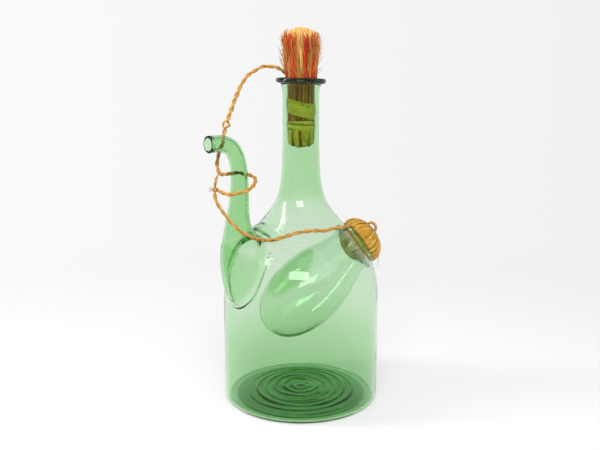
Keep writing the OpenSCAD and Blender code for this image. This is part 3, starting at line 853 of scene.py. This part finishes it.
for p0, p1, p2, w in strays:
    c = at_stopper(line_through([p0, p1, p2], 14))[None]
    a, b = axes_from(c, EZ)
    ww = w * np.linspace(1, 0.35, 14)[None]
    stray.add(*sweep(c, a, b, ww, ww * 0.6, 5, tone=np.array([g.random()])))
strays = stray.make("stopper_head_strays", raffia_fibre)
hitch_p = wound_knot("pocket_stopper_hitch", (47.3, 8.9, 165.9), 1.25, 71)
for ob in (head_core, head_wrap, plug_core, plug_wrap, loop, strays, hitch_p):
    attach(ob, "pocket_stopper")
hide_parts("pocket_stopper_cork")
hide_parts("pocket_stopper_raffia")
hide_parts("pocket_stopper_ring")
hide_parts("pocket_stopper_ends")
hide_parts("pocket_cord_hitch")


# -------------------- stopper of the neck
def bundle(name, material, angle, foot, lean, top, radius, seed, bend, twist,
           z0=303.5, n=12, sides=5, clump=1):
    """Straws that rise from the neck, lean outwards and end at their own heights. Those of one
    clump bend together."""
    g = np.random.default_rng(seed)
    S = len(angle)
    of = np.arange(S) // clump
    shared = g.uniform(-1, 1, (of[-1] + 1, 7))[of]
    a1 = angle + twist * (shared[:, 0] + g.uniform(-0.3, 0.3, S))
    mid = (top - z0) / 3
    low = bend * (0.35 * shared[:, 1:4] + g.uniform(-0.15, 0.15, (S, 3)))
    high = bend * (0.6 * shared[:, 4:7] + g.uniform(-0.3, 0.3, (S, 3)))
    c = cubic([round_axis(angle, foot, z0), round_axis(angle, foot + lean * 0.05, z0 + mid) + low,
               round_axis(a1, foot + lean * 0.35, z0 + 2 * mid) + high,
               round_axis(a1, foot + lean, top)], n)
    a, b = axes_from(c, np.broadcast_to(round_axis(angle, 1.0, 0.0)[:, None], c.shape))
    half = np.linspace(1, 0.72, n)[None] * radius[:, None]
    return one_sweep(name, material, c, a, b, half, half * 0.75, sides, g.random(S))


# Pale straws fill the middle, spaced like sunflower seeds.
S, TUFT_R, GOLDEN_ANGLE, TUFT_TOP = 620, 11.8, 2.399963, 349.9
g = np.random.default_rng(5)
order = np.arange(S) + 0.5
ang, rad = order * GOLDEN_ANGLE + g.uniform(-0.05, 0.05, S), TUFT_R * np.sqrt(order / S)
dome = TUFT_TOP - 5.0 * (rad / TUFT_R) ** 2.4 + g.uniform(-1.1, 0.45, S)
tuft_core = bundle("tuft_inner_straws", straw_pale, ang, rad, rad * 0.1, dome,
                   g.uniform(0.34, 0.6, S), 6, 1.3, 0.2, z0=302.0, n=9, sides=6)
# Loose straws stand round them in clumps, few of them at the front, where the photo shows the
# pale ones.
S, clump = 600, 6
FRONT, FRONT_HALF, LEFT_OUT = -1.52, 0.56, 0.86      # angle, half width, part of the clumps
ang = np.repeat(g.uniform(0, 2 * np.pi, S // clump), clump) + g.uniform(-0.05, 0.05, S)
outer_foot = g.uniform(11.6, 14.0, S)
outer_lean = np.repeat(0.4 + 5.0 * g.random(S // clump) ** 1.5, clump) + g.uniform(-0.4, 0.9, S)
outer_top = (np.repeat(g.uniform(333, 347.5, S // clump), clump) - 0.7 * outer_lean
             + g.uniform(-3.0, 3.0, S))
front = np.abs(np.angle(np.exp(1j * (ang - FRONT)))) < FRONT_HALF
keep = ~(front & (np.repeat(g.random(S // clump), clump) < LEFT_OUT))
tuft_outer = bundle("tuft_outer_straws", straw_brown, ang[keep], outer_foot[keep], outer_lean[keep],
                    outer_top[keep], g.uniform(0.16, 0.42, S)[keep], 8, 2.4, 0.26, clump=clump)
# Stray hairs stand further out.
S = 170
ang = g.uniform(0, 2 * np.pi, S)
hairs = bundle("tuft_stray_hairs", straw_brown, ang, g.uniform(12.8, 14.2, S),
               g.uniform(2.5, 7.5, S), g.uniform(312, 345, S), g.uniform(0.12, 0.28, S),
               9, 3.4, 0.42, z0=305)
# Dyed straws, in degrees round the neck: two clusters at the viewer's left, one near the middle,
# two at the right, and some behind.
red_at = np.radians(np.concatenate([
    g.uniform(-160, -143, 12), g.uniform(-130, -112, 20), g.uniform(-76, -66, 12),
    g.uniform(-48, -18, 20), g.uniform(-12, 12, 8), g.uniform(40, 170, 26)]))
S = len(red_at)
red_lean = 0.5 + 3.6 * g.random(S) ** 1.3
reds = bundle("tuft_red_straws", straw_red, red_at, g.uniform(13.5, 14.6, S),
              red_lean, 344 - red_lean + g.uniform(-4, 3.0, S), g.uniform(0.3, 0.52, S),
              10, 2.0, 0.15)
# The bound plug: straws side by side round a core, with a few dyed ones.
core = turned([(0, 243.6), (8.4, 243.6), (10.6, 245.4), (11.3, 249), (11.4, 300), (12.4, 308),
               (0, 309)], dark_core, "plug_inner_straw", lumps=0.006, seed=3)


def plug_straws(name, material, ang, seed):
    g = np.random.default_rng(seed)
    S, n = len(ang), 16
    u = np.linspace(0, 1, n)
    prof = line_through([(8.2, 243.6), (10.6, 244.8), (11.7, 249), (11.9, 262), (11.9, 285),
                         (11.9, 296), (12.8, 303.5), (13.6, 308)], n)
    drift = g.uniform(-0.06, 0.06, (S, 1)) * u[None] * 2
    a = ang[:, None] + drift + 0.012 * np.sin(u[None] * 9 + g.random((S, 1)) * 6)
    c = round_axis(a, prof[:, 0][None] + g.uniform(-0.25, 0.25, (S, 1)), prof[:, 1])
    c[..., 2] += g.uniform(-0.5, 0.9, (S, 1)) * (1 - u)[None] ** 3
    ax, bx = axes_from(c, round_axis(a, 1, 0))
    w = g.uniform(0.5, 0.95, (S, 1)) * np.ones((S, n))
    return one_sweep(name, material, c, ax, bx, w, w * 0.6, 6, g.random(S))


plug_outer = plug_straws("plug_outer_straws", straw_plug,
                         round_turn(62) + g.uniform(-0.04, 0.04, 62), 12)
plug_red = plug_straws("plug_red_straws", straw_red,
                       np.radians([-98, -94, -66, -40, 10, 60, 130, 200]), 13)


def band(name, z, width, tilt, radius, seed, turns):
    """A ribbon wound round the plug several times, each turn a little off the last, and lower
    towards +X."""
    parts = Parts()
    g = np.random.default_rng(seed)
    n = 130
    for i in range(turns):
        t = np.linspace(0, 2 * np.pi, n) + g.uniform(0, 6.3)
        zc = z + width * ((i + 0.5) / turns - 0.5) * 0.8 + g.uniform(-0.5, 0.5)
        r = radius + 0.28 * ((i * 2) % 3) + 0.12 * np.sin(5 * t + i) + 0.1 * np.linspace(0, 1, n)
        zz = (zc - np.tan(np.radians(tilt + g.uniform(-2.5, 2.5))) * r * np.cos(t)
              + 0.35 * np.sin(2 * t + i) + np.linspace(-0.5, 0.5, n))
        c = round_axis(t, r, zz)[None]
        a, b = axes_from(c, round_axis(t, 1, 0)[None])
        w = width / turns * g.uniform(0.95, 1.35) * (1 + 0.12 * np.sin(3 * t + i * 2)) / 2
        parts.add(*sweep(c, a, b, w[None], np.full((1, n), 0.22), 10, tone=np.array([g.random()])))
    return parts.make(name, painted_light_band_fibre)


upper_band = band("plug_upper_band", 277.5, 14.5, 11.5, 12.75, 14, 3)
lower_band = band("plug_lower_band", 262, 9.5, 3.5, 12.7, 15, 4)
strap, n = Parts(), 60
for i, (a0, dz, w) in enumerate([(-1.35, 0.0, 2.6), (-1.95, -0.6, 2.2),
                                 (-0.75, 0.4, 2.0), (0.6, 0.2, 2.4), (1.9, 0, 2.2)]):
    e = np.array([math.cos(a0), math.sin(a0), 0])
    f = np.array([-e[1], e[0], 0])
    path = [12.7 * e + [0, 0, 259], 12.6 * e + 0.4 * f + [0, 0, 252],
            12.2 * e + 0.8 * f + [0, 0, 247.6], 10.6 * e + 1.0 * f + [0, 0, 244.4 + dz],
            6.5 * e + 1.2 * f + [0, 0, 243.0 + dz], 1.0 * f + [0, 0, 242.6 + dz * 0.4],
            -6.5 * e + 0.6 * f + [0, 0, 243.0 + dz],
            -10.6 * e + 0.2 * f + [0, 0, 244.4 + dz], -12.2 * e - 0.4 * f + [0, 0, 248],
            -12.7 * e - 1.2 * f + [0, 0, 259]]
    c = line_through(path, n)[None]
    a, b = axes_from(c, unit(c - np.array([0, 0, 256.0])))
    ww = w * (1 + 0.1 * np.sin(np.linspace(0, 9, n) + i))[None]
    strap.add(*sweep(c, a, b, ww, np.full((1, n), 0.25), 10, tone=np.array([0.3 + 0.15 * i])))
strap = strap.make("plug_end_strap", painted_light_band_fibre)
hitch_n = wound_knot("neck_stopper_hitch", (-13.8, -0.5, 309.6), 1.25, 72)
for ob in (tuft_core, tuft_outer, hairs, reds, core, plug_outer,
           plug_red, upper_band, lower_band, strap, hitch_n):
    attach(ob, "neck_stopper")
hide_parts("neck_stopper_core")
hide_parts("neck_stopper_tuft")
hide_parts("tuft_straw_strands")
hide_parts("tuft_red_strands")
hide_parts("upper_raffia_band")
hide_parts("lower_raffia_band")
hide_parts("end_strap")
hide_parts("neck_cord_hitch")


# -------------------- light, floor, end
SMOOTH = [("interpolation_type", "SMOOTHSTEP")]


def studio():
    """A white room, a little brighter to the left, dimmer behind the camera and overhead."""
    world = bpy.data.worlds.new("studio")
    bpy.context.scene.world = world
    world.use_nodes = True
    nt = world.node_tree
    co = node(nt, "ShaderNodeTexCoord")
    sep = node(nt, "ShaderNodeSeparateXYZ", i0=co.outputs["Generated"])
    total = node(nt, "ShaderNodeMapRange", i0=sep.outputs[0], From_Min=-0.4, From_Max=0.4,
                 To_Min=0.955, To_Max=0.875).outputs[0]
    for axis, begin, end, amount in ((1, -0.05, -0.85, 0.42), (2, 0.22, 0.7, 0.4)):
        dim = node(nt, "ShaderNodeMapRange", SMOOTH, i0=sep.outputs[axis], From_Min=begin,
                   From_Max=end, To_Max=amount)
        total = maths(nt, "SUBTRACT", total, dim.outputs[0])
    put(nt, nt.nodes["Background"], Color=(1, 1, 1, 1), Strength=total)


LAMP_AIM = (0, 0, 0.17)


def softbox(name, azimuth, elevation, distance, width, height, radiance, mirrored=True):
    """A flat lamp that faces the object, seen from it at an azimuth and an elevation in degrees."""
    az, el = math.radians(azimuth), math.radians(elevation)
    lamp = bpy.data.lights.new(name, "AREA")
    lamp.shape, lamp.size, lamp.size_y = "RECTANGLE", width, height
    lamp.energy = radiance * math.pi * width * height
    ob = bpy.data.objects.new(name, lamp)
    bpy.context.scene.collection.objects.link(ob)
    ob.location = np.array(LAMP_AIM) + direction(az, el) * distance
    ob.rotation_euler = (math.pi / 2 - el, 0, az + math.pi / 2)
    ob.visible_glossy = mirrored


def pale_floor():
    """A round pale sheet, 1.2 m in radius, that fades into the room between 0.2 m and 0.8 m out."""
    turn, radius = np.meshgrid(round_turn(96), np.linspace(0.5, 1200, 60), indexing="ij")
    i = np.arange(turn.size).reshape(turn.shape)
    j = np.roll(i, -1, 0)
    f = np.stack([i[:, :-1], j[:, :-1], j[:, 1:], i[:, 1:]], -1).reshape(-1, 4)
    m, nt, p, out = nodes_of("studio_floor")
    put(nt, p, Base_Color=(0.42, 0.42, 0.42, 1), Emission_Color=(1, 1, 1, 1),
        Emission_Strength=0.43, Roughness=0.6)
    co = node(nt, "ShaderNodeTexCoord")
    far = node(nt, "ShaderNodeVectorMath", [("operation", "LENGTH")], i0=co.outputs["Object"])
    fade = node(nt, "ShaderNodeMapRange", SMOOTH, i0=far.outputs["Value"], From_Min=0.2,
                From_Max=0.8, To_Min=0.0, To_Max=1.0)
    clear = node(nt, "ShaderNodeBsdfTransparent")
    mix = node(nt, "ShaderNodeMixShader", i0=fade.outputs[0], i1=p.outputs[0], i2=clear.outputs[0])
    put(nt, out, Surface=mix.outputs[0])
    return make("studio_floor", round_axis(turn, radius, 0).reshape(-1, 3), f, m)


studio()
softbox("fill_light", -62, 42, 1.3, 1.0, 0.8, 3.0, mirrored=False)
softbox("front_top_light", -94, 38, 1.3, 0.66, 0.28, 20)
softbox("left_light", 184, 42, 1.2, 0.2, 0.8, 15)
bpy.context.scene.view_settings.view_transform = "Standard"
pale_floor()
